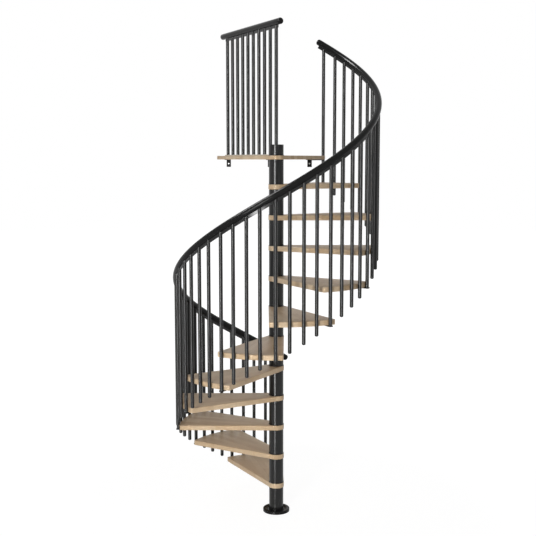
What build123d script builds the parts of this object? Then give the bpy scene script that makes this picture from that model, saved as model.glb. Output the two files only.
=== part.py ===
"""Spiral staircase: eleven beech treads and a landing on a central steel column.

Millimetres, +Z up. The origin is the centre of the base plate's underside, on the floor.
The stair rises counter-clockwise seen from above. Angles are measured from +X.
Round pieces that repeat are drawn as prisms with many sides, which keeps the mesh light.
"""
from build123d import *
from math import acos, asin, atan2, cos, degrees, hypot, pi, radians, sin, sqrt
import os

# Rise and turn
riser = 225.0
step_angle = 30.0
tread_count = 11
first_edge_angle = 90.0
landing_drop = 15.0

# Numbers of sides of the round pieces
column_side_count = 16
nose_side_count = 13
tip_side_count = 10
baluster_side_count = 10
grip_side_count = 10
cover_side_count = 32

# Column
column_radius = 54.0
column_wall = 3.0
pole_radius = 30.0
pole_wall = 4.0
pole_clearance = 0.4
ring_rim = 3.0
ring_thickness = 3.0
head_height = 79.0
cap_thickness = 3.0

# Base
plate_margin = 36.0
plate_thickness = 8.0
anchor_offset = 20.0
anchor_hole_radius = 5.5
anchor_count = 4
cover_margin = 10.5
cover_height = 22.0
cover_wall = 2.5
cover_bevel = 4.0
cover_clearance = 0.3

# Balusters
baluster_radius = 13.0
baluster_circle = 739.0
baluster_tail = 265.4
baluster_bevel = 5.0
corner_shift = -0.35
between_shifts = (7.0, 14.45, 21.55)
edge_clearance = 0.3
start_foot_margin = 11.0
start_foot_thickness = 6.0

# Treads
tread_thickness = 36.0
nose_overhang = 3.5
tip_edge_offset = 48.5
tip_corner_cut = 5.0

# Feet under the treads' trailing corners
foot_margin = 3.0
foot_thickness = 8.0
foot_inner_reach = 42.0
foot_bevel = 6.0

# Handrail: a round grip over a flat steel bar
grip_radius = 23.2
grip_over_treads = 849.6
grip_start_overhang = 5.65
grip_end_overhang = 3.35
cap_length = 17.0
cap_stations = (0.0, 0.6, 0.93)
bar_thickness = 8.0
bar_below_grip = 19.0
bar_in_grip = 4.0
bar_overhang = 30.0
rail_clearance = 0.3
slot_clearance = 0.4

# Landing
landing_thickness = 29.0
landing_left_angle = 116.6
landing_left_margin = 101.25
landing_right_margin = 64.0
landing_corner_cut = 4.0

# Landing railing
landing_pitch = 96.75
landing_baluster_count = 10
landing_grip_rise = 953.0
landing_grip_near = 64.0
landing_grip_far_margin = 86.25
strip_margin = 4.0
strip_thickness = 8.0
strip_bevel = 1.5
strip_overhang = 26.0
strip_column_clearance = 4.0

# Brackets under the landing's rear edge
bracket_width = 36.0
bracket_drop = 60.0
bracket_depth = 50.0
bracket_thickness = 4.0
bracket_hole_radius = 4.5
bracket_shares = (0.115, 0.5, 0.86)
arm_width = 30.0
arm_thickness = 6.0
arm_lap = 100.0

# Derived sizes
pitch = riser * 360.0 / step_angle
nose_radius = column_radius + nose_overhang
tread_radius = baluster_circle - baluster_radius - edge_clearance
plate_radius = column_radius + plate_margin
anchor_circle_radius = column_radius + anchor_offset
cover_radius = plate_radius + cover_margin
pole_bore = pole_radius + pole_clearance
landing_top = (tread_count + 1) * riser - landing_drop
landing_bottom = landing_top - landing_thickness
head_top = landing_top + head_height
landing_grip_height = landing_top + landing_grip_rise
last_landing_baluster = (landing_baluster_count - 1) * landing_pitch
landing_left_reach = last_landing_baluster + landing_left_margin
landing_right_reach = baluster_circle - landing_right_margin
slope = atan2(pitch, 2 * pi * baluster_circle)
first_baluster_angle = first_edge_angle + corner_shift
last_baluster_angle = first_baluster_angle + tread_count * step_angle

parts = {}


def at_angle(radius, angle, z=0.0):
    """Point at a radius and an angle about the column."""
    return Vector(radius * cos(radians(angle)), radius * sin(radians(angle)), z)


def edge_angle(number):
    """Direction of a tread's leading edge; the lowest tread is number 1."""
    return first_edge_angle + (number - 1) * step_angle


def prism(radius, side_count, bottom, top):
    """Upright bar about the Z axis whose round section is drawn with straight sides."""
    return extrude(Plane.XY.offset(bottom) * RegularPolygon(radius, side_count), top - bottom)


def column_tube(bottom, top):
    """Length of column tube with a centring rim at its foot."""
    solid = prism(column_radius, column_side_count, bottom, top)
    solid += prism(column_radius + ring_rim, column_side_count, bottom, bottom + ring_thickness)
    return solid - prism(column_radius - column_wall, column_side_count, bottom - 1, top + 1)


def column_foot():
    """Lowest length of column tube, standing on the base plate."""
    top = riser - tread_thickness
    solid = prism(column_radius, column_side_count, plate_thickness, top)
    return solid - prism(column_radius - column_wall, column_side_count, plate_thickness - 1, top + 1)


def column_head():
    """Short length of column above the landing, closed by its flat cap."""
    tube = column_tube(landing_top, head_top - cap_thickness)
    return tube + prism(column_radius, column_side_count, head_top - cap_thickness, head_top)


def pole():
    """Steel pole through all the boards, from the base plate to the cap."""
    top = head_top - cap_thickness
    solid = prism(pole_radius, baluster_side_count, plate_thickness, top)
    return solid - prism(pole_radius - pole_wall, baluster_side_count, plate_thickness - 1, top + 1)


def base_plate():
    """Round floor plate with its anchor holes."""
    plate = prism(plate_radius, cover_side_count, 0, plate_thickness)
    for index in range(anchor_count):
        angle = 45 + index * 360.0 / anchor_count
        place = Pos(*at_angle(anchor_circle_radius, angle))
        plate -= place * Cylinder(anchor_hole_radius, 4 * plate_thickness)
    return plate


def base_cover():
    """Hollow round cover over the plate and its anchors, with a hole for the column."""
    outer = prism(cover_radius, cover_side_count, 0, cover_height)
    outer = chamfer(outer.faces().sort_by(Axis.Z)[-1].edges(), cover_bevel)
    inner = prism(cover_radius - cover_wall, cover_side_count, -1, cover_height - cover_wall)
    inner = chamfer(inner.faces().sort_by(Axis.Z)[-1].edges(), cover_bevel)
    hole = prism(column_radius + cover_clearance, column_side_count, -2, cover_height + 1)
    return outer - inner - hole


def upright_edges(solid, points):
    """Vertical edges of a solid that stand nearest to the given plan points."""
    upright = solid.edges().filter_by(Axis.Z)
    chosen = []
    for point in points:
        chosen.append(min(upright, key=lambda e: hypot(e.center().X - point.X, e.center().Y - point.Y)))
    return chosen


def rounded_line(radius, start, end, side_count):
    """Arc about the column from one angle to another, drawn with straight sides."""
    step = (end - start) / side_count
    points = [at_angle(radius, start + index * step) for index in range(side_count + 1)]
    return Polyline(points)


def board(outline, corners, corner_cut, bottom, thickness):
    """Wooden board with blunted corners and the pole's hole."""
    solid = extrude(Plane.XY.offset(bottom) * make_face(outline), thickness)
    solid = chamfer(upright_edges(solid, corners), corner_cut)
    return solid - prism(pole_bore, baluster_side_count, bottom - 1, bottom + thickness + 1)


def tread(number):
    """Wedge tread: two edges tangent to the round nose, and a round outer end."""
    start = edge_angle(number)
    end = start + step_angle
    swing = degrees(asin(tip_edge_offset / tread_radius))
    reach = degrees(acos(nose_radius / tread_radius))
    tip_a = at_angle(tread_radius, start - swing)
    tip_b = at_angle(tread_radius, end + swing)
    root_a = start - swing - reach
    root_b = end + swing + reach
    outline = [
        Line(at_angle(nose_radius, root_a), tip_a),
        rounded_line(tread_radius, start - swing, end + swing, tip_side_count),
        Line(tip_b, at_angle(nose_radius, root_b)),
        rounded_line(nose_radius, root_b, root_a + 360, nose_side_count),
    ]
    bottom = number * riser - tread_thickness
    return board(outline, (tip_a, tip_b), tip_corner_cut, bottom, tread_thickness)


def landing_corners():
    """Plan corners of the landing: nose right, rear right, rear left and nose left."""
    right_angle = edge_angle(tread_count + 1)
    root_right = at_angle(nose_radius, right_angle - 90)
    root_left = at_angle(nose_radius, landing_left_angle + 90)
    rear_right = root_right + at_angle(landing_right_reach, right_angle)
    rear_left = root_left + at_angle(landing_left_reach, landing_left_angle)
    return root_right, rear_right, rear_left, root_left


def landing():
    """Landing board: a round nose at the column and a straight rear edge at the floor above."""
    root_right, rear_right, rear_left, root_left = landing_corners()
    outline = [
        Line(root_right, rear_right),
        Line(rear_right, rear_left),
        Line(rear_left, root_left),
        rounded_line(nose_radius, landing_left_angle + 90, edge_angle(tread_count + 1) - 90, nose_side_count),
    ]
    corners = (rear_right, rear_left)
    return board(outline, corners, landing_corner_cut, landing_bottom, landing_thickness)


def grip_section():
    """Section of the grip: round, with a groove below for the flat bar."""
    outline = Rot(0, 0, 180.0 / grip_side_count) * RegularPolygon(grip_radius, grip_side_count)
    groove_top = bar_in_grip + rail_clearance - grip_radius
    groove = Rectangle(bar_thickness + 2 * rail_clearance, grip_radius, align=(Align.CENTER, Align.MAX))
    return outline - Pos(0, groove_top) * groove


def bar_section():
    """Section of the flat bar, from inside the grip's groove to below the grip."""
    height = bar_in_grip + bar_below_grip
    bar = Rectangle(bar_thickness, height, align=(Align.CENTER, Align.MAX))
    return Pos(0, bar_in_grip - grip_radius) * bar


def rail_room():
    """Section of the room the rail takes in a baluster: the slot for the bar and all above."""
    slot_bottom = -grip_radius - bar_below_grip - rail_clearance
    slot_width = bar_thickness + 2 * slot_clearance
    slot = Pos(0, slot_bottom) * Rectangle(slot_width, 2 * grip_radius, align=(Align.CENTER, Align.MIN))
    shoulder = -grip_radius - rail_clearance
    above = Rectangle(4 * baluster_radius, 2 * grip_radius, align=(Align.CENTER, Align.MIN))
    return slot + Pos(0, shoulder) * above


def step_line(angle):
    """Height of the line through the treads' leading upper edges; the angle counts up through the turn."""
    return ((angle - first_edge_angle) / step_angle + 1) * riser


def grip_height(angle):
    """Height of the stair grip's axis over the line through the treads' edges."""
    return step_line(angle) + grip_over_treads


def stair_frame(angle):
    """Plane across the helical rail: X points outwards, Y up the section, Z down the slope."""
    tangent = Vector(-sin(radians(angle)) * cos(slope), cos(radians(angle)) * cos(slope), sin(slope))
    origin = at_angle(baluster_circle, angle, grip_height(angle))
    return Plane(origin=origin, x_dir=at_angle(1, angle), z_dir=-tangent)


def landing_frame(along):
    """Plane across the landing's rail at a distance from the column's axis: Y points up."""
    direction = at_angle(1, landing_left_angle)
    origin = at_angle(along, landing_left_angle, landing_grip_height)
    return Plane(origin=origin, x_dir=(direction.Y, -direction.X, 0), z_dir=-direction)


def helical(section, start, end):
    """Section carried up the helix from one angle to another."""
    height = (end - start) / 360.0 * pitch
    helix = Pos(0, 0, grip_height(start)) * Rot(0, 0, start) * Helix(pitch, height, baluster_circle)
    return sweep(stair_frame(start) * section, path=helix, is_frenet=True)


def grip_cap(frame, side):
    """Domed end of a grip; side is -1 at the lower end of the frame's rail and 1 at the upper."""
    sections = []
    for share in cap_stations:
        radius = grip_radius * sqrt(1 - share**2)
        polygon = Rot(0, 0, 180.0 / grip_side_count) * RegularPolygon(radius, grip_side_count)
        sections.append(frame.offset(-side * share * cap_length) * polygon)
    return loft(sections, ruled=True)


def handrail():
    """Helical grip from before the first baluster to past the last one."""
    return helical(grip_section(), grip_start, grip_end)


def handrail_bar():
    """Helical flat bar that joins the balusters' slotted tops under the grip."""
    overhang = degrees(bar_overhang / baluster_circle)
    return helical(bar_section(), first_baluster_angle - overhang, last_baluster_angle + overhang)


def handrail_caps():
    """Domed ends of the helical grip."""
    caps = [grip_cap(stair_frame(grip_start), -1), grip_cap(stair_frame(grip_end), 1)]
    return Compound(children=caps)


def landing_rail():
    """Straight grip of the landing's railing."""
    length = landing_grip_near + landing_grip_far
    return extrude(landing_frame(-landing_grip_near) * grip_section(), -length)


def landing_rail_bar():
    """Flat bar under the landing's grip, in the slotted tops of the balusters."""
    length = last_landing_baluster + 2 * bar_overhang
    return extrude(landing_frame(-bar_overhang) * bar_section(), -length)


def landing_rail_caps():
    """Domed ends of the landing's grip."""
    caps = [grip_cap(landing_frame(-landing_grip_near), -1), grip_cap(landing_frame(landing_grip_far), 1)]
    return Compound(children=caps)


def baluster(frame, turn, bottom, beveled):
    """Baluster below a rail's section plane, its top slotted over the flat bar."""
    axis = frame.origin
    body = prism(baluster_radius, baluster_side_count, bottom, axis.Z)
    if beveled:
        body = chamfer(body.faces().sort_by(Axis.Z)[0].edges(), baluster_bevel)
    reach = 2 * baluster_radius + grip_radius + bar_below_grip
    room = extrude(frame * rail_room(), reach, both=True)
    return Pos(axis.X, axis.Y, 0) * Rot(0, 0, turn) * body - room


def start_baluster():
    """First baluster, on a round foot on the floor at the first tread's leading corner."""
    frame = stair_frame(first_baluster_angle)
    body = baluster(frame, first_baluster_angle, start_foot_thickness, False)
    foot = prism(baluster_radius + start_foot_margin, column_side_count, 0, start_foot_thickness)
    return body + Pos(frame.origin.X, frame.origin.Y, 0) * foot


def tread_balusters(number):
    """Three balusters along a tread's outer end and one on the foot at its trailing corner."""
    solids = []
    for shift in between_shifts:
        angle = edge_angle(number) + shift
        solids.append(baluster(stair_frame(angle), angle, step_line(angle) - baluster_tail, True))
    corner = edge_angle(number + 1) + corner_shift
    solids.append(baluster(stair_frame(corner), corner, number * riser - tread_thickness, False))
    return Compound(children=solids)


def landing_balusters():
    """Balusters of the landing: one on the column's head and the others on the strip."""
    solids = []
    for index in range(landing_baluster_count):
        foot = head_top if index == 0 else landing_top + strip_thickness
        solids.append(baluster(landing_frame(index * landing_pitch), landing_left_angle, foot, False))
    return Compound(children=solids)


def baluster_foot(number):
    """Flat foot under a tread's trailing corner, reaching out under the corner baluster."""
    width = 2 * (baluster_radius + foot_margin)
    inner = tread_radius - foot_inner_reach
    outer = baluster_circle + width / 2
    outline = Pos((inner + outer) / 2, 0) * Rectangle(outer - inner, width)
    outline = chamfer(outline.vertices(), foot_bevel)
    top = number * riser - tread_thickness
    plate = extrude(Plane.XY.offset(top - foot_thickness) * outline, foot_thickness)
    return Rot(0, 0, edge_angle(number + 1) + corner_shift) * plate


def landing_strip():
    """Pale strip on the landing that the balusters stand on."""
    start = column_radius + ring_rim + strip_column_clearance
    length = last_landing_baluster + strip_overhang - start
    width = 2 * (baluster_radius + strip_margin)
    strip = Box(length, width, strip_thickness, align=(Align.MIN, Align.CENTER, Align.MIN))
    strip = chamfer(strip.faces().sort_by(Axis.Z)[-1].edges(), strip_bevel)
    return Pos(0, 0, landing_top) * Rot(0, 0, landing_left_angle) * Pos(start, 0, 0) * strip


def rear_frame(share):
    """Plane at a share of the landing's rear edge: X along it, Y outwards, Z up."""
    _, rear_right, rear_left, _ = landing_corners()
    along = (rear_right - rear_left).normalized()
    origin = rear_left + (rear_right - rear_left) * share
    return Plane(origin=(origin.X, origin.Y, landing_bottom), x_dir=along, z_dir=(0, 0, 1))


def angle_bracket(share):
    """Steel angle under the landing's rear edge, with a hole for the floor's fixing."""
    centred = (Align.CENTER, Align.MAX, Align.MAX)
    leg = Box(bracket_width, bracket_thickness, bracket_drop, align=centred)
    shelf = Box(bracket_width, bracket_depth, bracket_thickness, align=centred)
    hole_height = -(bracket_drop + bracket_thickness) / 2
    hole = Pos(0, 0, hole_height) * Rot(90, 0, 0) * Cylinder(bracket_hole_radius, 4 * bracket_thickness)
    return rear_frame(share) * (leg + shelf - hole)


def corner_arm():
    """Flat arm from the landing's underside to the last long baluster."""
    _, rear_right, _, _ = landing_corners()
    inner = rear_right.length - arm_lap
    outline = Pos((inner + tread_radius) / 2, 0) * Rectangle(tread_radius - inner, arm_width)
    arm = extrude(Plane.XY.offset(landing_bottom - arm_thickness) * outline, arm_thickness)
    return Rot(0, 0, last_baluster_angle) * arm


def build():
    """Fill the table of named pieces."""
    parts["base_plate"] = base_plate()
    parts["base_cover"] = base_cover()
    parts["center_pole"] = pole()
    parts["column_foot"] = column_foot()
    spacers = []
    for number in range(1, tread_count):
        spacers.append(column_tube(number * riser, (number + 1) * riser - tread_thickness))
    spacers.append(column_tube(tread_count * riser, landing_bottom))
    parts["column_spacers"] = Compound(children=spacers)
    parts["column_head"] = column_head()
    for number in range(1, tread_count + 1):
        parts[f"tread_{number:02d}"] = tread(number)
        parts[f"balusters_{number:02d}"] = tread_balusters(number)
    parts["landing"] = landing()
    parts["start_baluster"] = start_baluster()
    feet = [baluster_foot(number) for number in range(1, tread_count + 1)]
    parts["baluster_feet"] = Compound(children=feet)
    parts["handrail"] = handrail()
    parts["handrail_bar"] = handrail_bar()
    parts["handrail_caps"] = handrail_caps()
    parts["landing_rail"] = landing_rail()
    parts["landing_rail_bar"] = landing_rail_bar()
    parts["landing_rail_caps"] = landing_rail_caps()
    parts["landing_strip"] = landing_strip()
    parts["landing_balusters"] = landing_balusters()
    brackets = [angle_bracket(share) for share in bracket_shares]
    parts["landing_brackets"] = Compound(children=brackets)
    parts["landing_corner_arm"] = corner_arm()


grip_start = first_baluster_angle - grip_start_overhang
grip_end = last_baluster_angle + grip_end_overhang
landing_grip_far = last_landing_baluster + landing_grip_far_margin
build()
os.makedirs("parts", exist_ok=True)
for name, shape in parts.items():
    export_step(shape, f"parts/{name}.step")
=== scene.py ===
"""Looks of the spiral staircase: beech boards, black steel column, balusters and rails."""
import math

import bpy
import numpy as np
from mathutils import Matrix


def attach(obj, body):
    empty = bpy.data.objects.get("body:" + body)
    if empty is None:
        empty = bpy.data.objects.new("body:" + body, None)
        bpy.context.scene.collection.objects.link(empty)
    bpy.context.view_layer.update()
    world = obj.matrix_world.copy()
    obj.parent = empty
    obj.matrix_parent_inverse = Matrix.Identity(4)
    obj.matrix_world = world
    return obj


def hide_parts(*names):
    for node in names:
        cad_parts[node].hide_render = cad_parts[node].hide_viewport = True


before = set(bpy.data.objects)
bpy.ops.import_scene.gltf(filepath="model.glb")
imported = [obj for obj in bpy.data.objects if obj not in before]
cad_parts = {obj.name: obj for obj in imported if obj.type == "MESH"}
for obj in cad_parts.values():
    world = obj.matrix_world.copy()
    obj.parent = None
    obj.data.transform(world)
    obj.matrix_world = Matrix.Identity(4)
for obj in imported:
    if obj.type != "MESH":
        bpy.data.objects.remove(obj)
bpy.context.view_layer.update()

bl_info = {
    "name": "Spiral staircase",
    "version": (1, 0, 0),
    "blender": (4, 5, 0),
    "location": "3D View > Sidebar > Stair",
    "description": "Builds the boards, rails, balusters and finishes of a spiral staircase",
    "category": "Object",
}

# Lengths are in metres and angles in radians, unless a comment says otherwise.

# Rise and turn
RISER = 0.225
STEP = math.radians(30.0)
TREAD_COUNT = 11
FIRST_EDGE = math.radians(90.0)
PITCH = RISER * 2 * math.pi / STEP

# Column
COLUMN_RADIUS = 0.054
TUBE_LIP = 0.001
COLLAR_RADIUS = 0.057
COLLAR_HEIGHT = 0.003
COLLAR_RIM = 0.0009
HEAD_HEIGHT = 0.079
HEAD_RIM = 0.0012
HUB_SHARE = 0.2

# Base plate and cover
PLATE_TOP = 0.008
COVER_RADIUS = 0.1005
COVER_HEIGHT = 0.022
COVER_WALL = 0.0025
COVER_RIM = 0.005
COVER_CLEARANCE = 0.0003
SEAT_OUTER = 0.006
SEAT_INNER = 0.0035
SEAT_WIDTH = 0.0015
SEAT_BEVEL = 0.0006
SEAT_DEPTH = 0.0007

# Treads
NOSE_RADIUS = 0.0575
TREAD_RADIUS = 0.7257
TREAD_THICKNESS = 0.036
TIP_OFFSET = 0.0485

# Landing
LANDING_DROP = 0.015
LANDING_TOP = (TREAD_COUNT + 1) * RISER - LANDING_DROP
LANDING_THICKNESS = 0.029
LANDING_LEFT = math.radians(116.6)
LANDING_RIGHT = math.radians(60.0)
LANDING_LEFT_REACH = 0.972
LANDING_RIGHT_REACH = 0.675
HEAD_TOP = LANDING_TOP + HEAD_HEIGHT

# Balusters: round bars, three to a tread with domed plugs and one on a foot
BALUSTER_RADIUS = 0.013
BALUSTER_CIRCLE = 0.739
BALUSTER_DROP = 1.115
CORNER_SHIFT = math.radians(-0.35)
BETWEEN_SHIFTS = np.radians([7.0, 14.45, 21.55])
BAR_TOP_LAP = 0.0015
BAR_TOP_BEVEL = 0.0006
BAR_TOP_SHARE = 0.96
BAR_END_BEVEL = 0.0005
BAR_END_SHARE = 0.97
PLUG_TIP_SHARE = 0.06
PLUG_GROOVE_SHARES = (0.965, 0.965, 1.0)
PLUG_GROOVE_RISES = (0.0004, 0.0010, 0.0014)

# Feet
FOOT_THICKNESS = 0.008
FOOT_MARGIN = 0.003
FOOT_REACH = 0.042
FOOT_CORNER = 0.010
FOOT_RIM = 0.0022
FOOT_SCREW_INSET = 0.013
FOOT_SCREW_RADII = (0.0042, 0.0058)
START_FOOT_RADIUS = 0.024
START_FOOT_THICKNESS = 0.006
START_FOOT_RIM = 0.0015

# Handrail: a round grip with domed ends over a flat bar
GRIP_RADIUS = 0.0232
GRIP_OVER_TREADS = 0.8496
GRIP_START = math.radians(84.0)
GRIP_END = math.radians(423.0)
CAP_LENGTH = 0.017
CAP_TIP_SHARE = 0.995
FLAT_THICKNESS = 0.008
FLAT_TOP = -0.0192
FLAT_BOTTOM = -0.0422
FLAT_BEVEL = 0.0008
FLAT_OVERHANG = 0.030
SLOPE = math.atan2(PITCH, 2 * math.pi * BALUSTER_CIRCLE)

# Landing railing and the strip that it stands on
LANDING_PITCH = 0.09675
LANDING_BALUSTERS = 10
LANDING_GRIP_HEIGHT = LANDING_TOP + 0.953
LANDING_GRIP_NEAR = -0.064
LANDING_GRIP_FAR = 0.957
STRIP_THICKNESS = 0.008
STRIP_START = 0.061
STRIP_END = 0.89675
STRIP_HALF_WIDTH = 0.017
STRIP_CORNER = 0.002
STRIP_RIM = 0.0015

# Brackets under the landing's rear edge, and their screws
BRACKET_SHARES = (0.115, 0.5, 0.86)
BRACKET_DROP = 0.060
BRACKET_THICKNESS = 0.004
BRACKET_SCREW_INSET = 0.036
BRACKET_SCREW_RADIUS = 0.0045
WALL_SCREW_RADIUS = 0.0072

# Pan head with a socket: radius and height, as shares of the head's radius
SCREW_PROFILE = np.array([
    [1.0, -0.15], [1.0, 0.12], [0.93, 0.30], [0.78, 0.42],
    [0.48, 0.48], [0.42, 0.44], [0.40, 0.12], [0.10, 0.10],
])

# Numbers of points and sides along the curves
TURNED_SIDES = 96
COVER_SIDES = 128
FOOT_SIDES = 48
BAR_SIDES = 28
GRIP_SIDES = 48
SCREW_SIDES = 20
FLOOR_SIDES = 96
RIM_POINTS = 5
DISC_RIM_POINTS = 6
COVER_RIM_POINTS = 9
SEAT_POINTS = 5
CORNER_POINTS = 7
NOSE_POINTS = 26
TIP_POINTS = 18
LANDING_NOSE_POINTS = 20
PLUG_RINGS = 7
CAP_STATIONS = 12
STAIR_GRIP_STATIONS = 600
STAIR_FLAT_STATIONS = 336
LANDING_GRIP_STATIONS = 12
LANDING_FLAT_STATIONS = 3

# An edge between two faces that turn by more than this is drawn sharp
SHARP_ANGLE = math.radians(32.0)

# Where each board's staves start, so that no two boards look alike
TREAD_GRAIN_STEP = (2.713, 0.021)
TREAD_GRAIN_ROWS = 5
LANDING_GRAIN_SHIFT = (40.3, 0.013, 0.0)

# Noises in the wood: stretch, scale, detail, roughness and distortion
BAND_NOISE = ((1.1, 16.0, 16.0), 2.2, 2.0, 0.5, 0.6)
STREAK_NOISE = ((3.0, 150.0, 150.0), 2.0, 4.0, 0.6)
FLECK_NOISE = ((80.0, 620.0, 300.0), 1.0, 2.0, 0.6)
STRIP_NOISE = ((3.0, 160.0, 160.0), 2.0, 4.0, 0.6)

# Ranges: from where to where a noise counts, and what it gives there
NOISE_SPAN = (0.3, 0.7)
BAND_RANGE = (0.35, 0.7, 0.0, 0.45)
STREAK_RANGE = (0.4, 0.68, 0.0, 0.5)
FLECK_RANGE = (0.60, 0.68, 0.0, 0.42)
STRIP_RANGE = (0.4, 0.7, 0.0, 0.5)
BEECH_ROUGHNESS = (*NOISE_SPAN, 0.40, 0.52)
STRIP_ROUGHNESS = (*NOISE_SPAN, 0.4, 0.5)
ZINC_ROUGHNESS = (0.0, 1.0, 0.32, 0.42)

# Joints between the staves, as shares of a stave's width and length
SIDE_JOINT = (0.0, 0.014, 1.0, 0.0)
END_JOINT = (0.0, 0.0016, 1.0, 0.0)
JOINT_STRENGTH = 0.45
STAVE_SHIFT = (5.0, 5.0, 5.0)

# Tints that the wood is multiplied by
BAND_TINT = (0.93, 0.88, 0.82, 1.0)
STREAK_TINT = (0.88, 0.83, 0.76, 1.0)
FLECK_TINT = (0.70, 0.55, 0.42, 1.0)
JOINT_TINT = (0.62, 0.48, 0.36, 1.0)
STRIP_TINT = (0.88, 0.82, 0.74, 1.0)

# Relief and gleam of the wood
STREAK_RELIEF = 0.25
RELIEF_STRENGTH = 0.12
RELIEF_DEPTH = 0.0006
BEECH_GLEAM = 0.35

# Black coats: a large soft cloud and a fine grit change their gloss, and the cloud their tone
EVEN = (1.0, 1.0, 1.0)
CLOUD_SCALE = 1.6
CLOUD_GLOSS = 0.015
GRIT_GLOSS = 0.004
CLOUD_TONE = (0.35, 0.7, 0.0, 0.5)
LIGHTER_SHARE = 1.35
LIGHTER_STEP = 0.004

# Zinc plate
SPANGLE_SCALE = 220.0
ZINC_DARK = (0.50, 0.51, 0.52, 1.0)
ZINC_LIGHT = (0.66, 0.67, 0.68, 1.0)

# Floor: its glow for seen rays, by the distance from the column
FLOOR_RADIUS = 30.0
FLOOR_ROUGHNESS = 0.8
FLOOR_GLOW = 1.09
FLOOR_FADE = (1.5, 4.0, 0.86, 1.0)

# World: its light, and the bright strip that reflections show, by bearing and by steepness
WORLD_LIGHT = 0.27
GLINT_BEARING = math.radians(-21.5)
GLINT_WIDTH = (math.radians(4.2), math.radians(6.6), 1.0, 0.0)
GLINT_REACH = (0.24, 0.305, 34.0, 0.0)

# Lamps: name, place, target, size and power in watts
LAMPS = (
    ("key_light", (-2.3, -6.3, 2.3), (0.0, 0.0, 1.7), (0.8, 4.2), 262.0),
    ("fill_light", (4.4, -4.6, 2.6), (0.0, 0.0, 1.7), (3.0, 3.0), 12.0),
    ("back_light", (1.5, 6.5, 1.6), (0.0, 0.0, 1.6), (3.5, 3.5), 85.0),
    ("grip_light", (-4.0, 0.0, 7.2), (0.0, 0.0, 2.0), (1.2, 3.2), 750.0),
)

# Camera: the focal length is in pixels of an image this wide, and the sensor in millimetres
IMAGE_WIDTH = 536.0
FOCAL_PIXELS = 952.4
SENSOR_WIDTH = 36.0
CAMERA_SHIFT = (-0.0154, 0.0039)
CAMERA_PLACE = (0.0, -7.004, 2.655)
CAMERA_TILT = 0.1155


def srgb(red, green, blue):
    """Linear colour for a colour that is written as 0 to 255 on a screen."""
    levels = np.array([red, green, blue]) / 255.0
    low = levels / 12.92
    high = ((levels + 0.055) / 1.055) ** 2.4
    return tuple(float(x) for x in np.where(levels <= 0.04045, low, high))


class StairSizes(bpy.types.PropertyGroup):
    """Sizes of the finish that a user may change."""

    board_rounding: bpy.props.FloatProperty(
        name="Board rounding",
        description="Radius of the rounded rims of the treads and the landing",
        default=0.003, min=0.0005, max=0.01, subtype="DISTANCE", unit="LENGTH",
    )
    corner_rounding: bpy.props.FloatProperty(
        name="Corner rounding",
        description="How far the rounding reaches from each outer corner of a board",
        default=0.011, min=0.002, max=0.03, subtype="DISTANCE", unit="LENGTH",
    )
    stave_width: bpy.props.FloatProperty(
        name="Stave width",
        description="Width of the glued staves in the boards",
        default=0.046, min=0.02, max=0.12, subtype="DISTANCE", unit="LENGTH",
    )
    stave_length: bpy.props.FloatProperty(
        name="Stave length",
        description="Length of the glued staves in the boards",
        default=0.36, min=0.1, max=1.2, subtype="DISTANCE", unit="LENGTH",
    )
    dome_height: bpy.props.FloatProperty(
        name="End plug height",
        description="Height of the domed plug in the lower end of a baluster",
        default=0.009, min=0.002, max=0.012, subtype="DISTANCE", unit="LENGTH",
    )


class StairColours(bpy.types.PropertyGroup):
    """Colours of the finishes."""

    beech_light: bpy.props.FloatVectorProperty(
        name="Light stave", description="Colour of the palest staves",
        size=3, default=srgb(218, 196, 166), min=0.0, max=1.0, subtype="COLOR",
    )
    beech_dark: bpy.props.FloatVectorProperty(
        name="Dark stave", description="Colour of the darkest staves",
        size=3, default=srgb(201, 174, 140), min=0.0, max=1.0, subtype="COLOR",
    )
    strip: bpy.props.FloatVectorProperty(
        name="Strip", description="Colour of the strip under the landing's balusters",
        size=3, default=srgb(232, 224, 206), min=0.0, max=1.0, subtype="COLOR",
    )
    steel: bpy.props.FloatVectorProperty(
        name="Coated steel", description="Colour of the coated steel",
        size=3, default=srgb(29, 29, 29), min=0.0, max=1.0, subtype="COLOR",
    )
    grip: bpy.props.FloatVectorProperty(
        name="Grip", description="Colour of the moulded grips",
        size=3, default=srgb(23, 23, 23), min=0.0, max=1.0, subtype="COLOR",
    )
    floor: bpy.props.FloatVectorProperty(
        name="Floor", description="Colour of the floor",
        size=3, default=srgb(244, 244, 244), min=0.0, max=1.0, subtype="COLOR",
    )


def sizes():
    """The size settings of the scene."""
    return bpy.context.scene.stair_sizes


def colours():
    """The colour settings of the scene."""
    return bpy.context.scene.stair_colours


# Meshes

def grid_quads(rows, columns):
    """Quads of a grid numbered row by row, whose last column joins the first."""
    row = np.arange(rows - 1)[:, None]
    column = np.arange(columns)[None, :]
    beside = (column + 1) % columns
    corners = [row * columns + column, row * columns + beside,
               (row + 1) * columns + beside, (row + 1) * columns + column]
    return np.stack(np.broadcast_arrays(*corners), axis=-1).reshape(-1, 4)


def closed_tube(points):
    """Closed skin through rings of points (rows of one length), with a flat lid on each end."""
    rows, columns = points.shape[:2]
    quads = grid_quads(rows, columns)
    lids = np.stack([np.arange(columns)[::-1], np.arange(columns) + (rows - 1) * columns])
    return points.reshape(-1, 3), quads, lids


def join_solids(solids):
    """One list of points and faces from several solids, each a (points, quads, lids) tuple."""
    starts = np.cumsum([0] + [len(points) for points, _, _ in solids[:-1]])
    points = np.concatenate([solid[0] for solid in solids])
    faces = []
    for start, (_, quads, lids) in zip(starts, solids):
        faces += (quads + start).tolist()
        faces += [(np.asarray(lid) + start).tolist() for lid in lids]
    return points, faces


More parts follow.
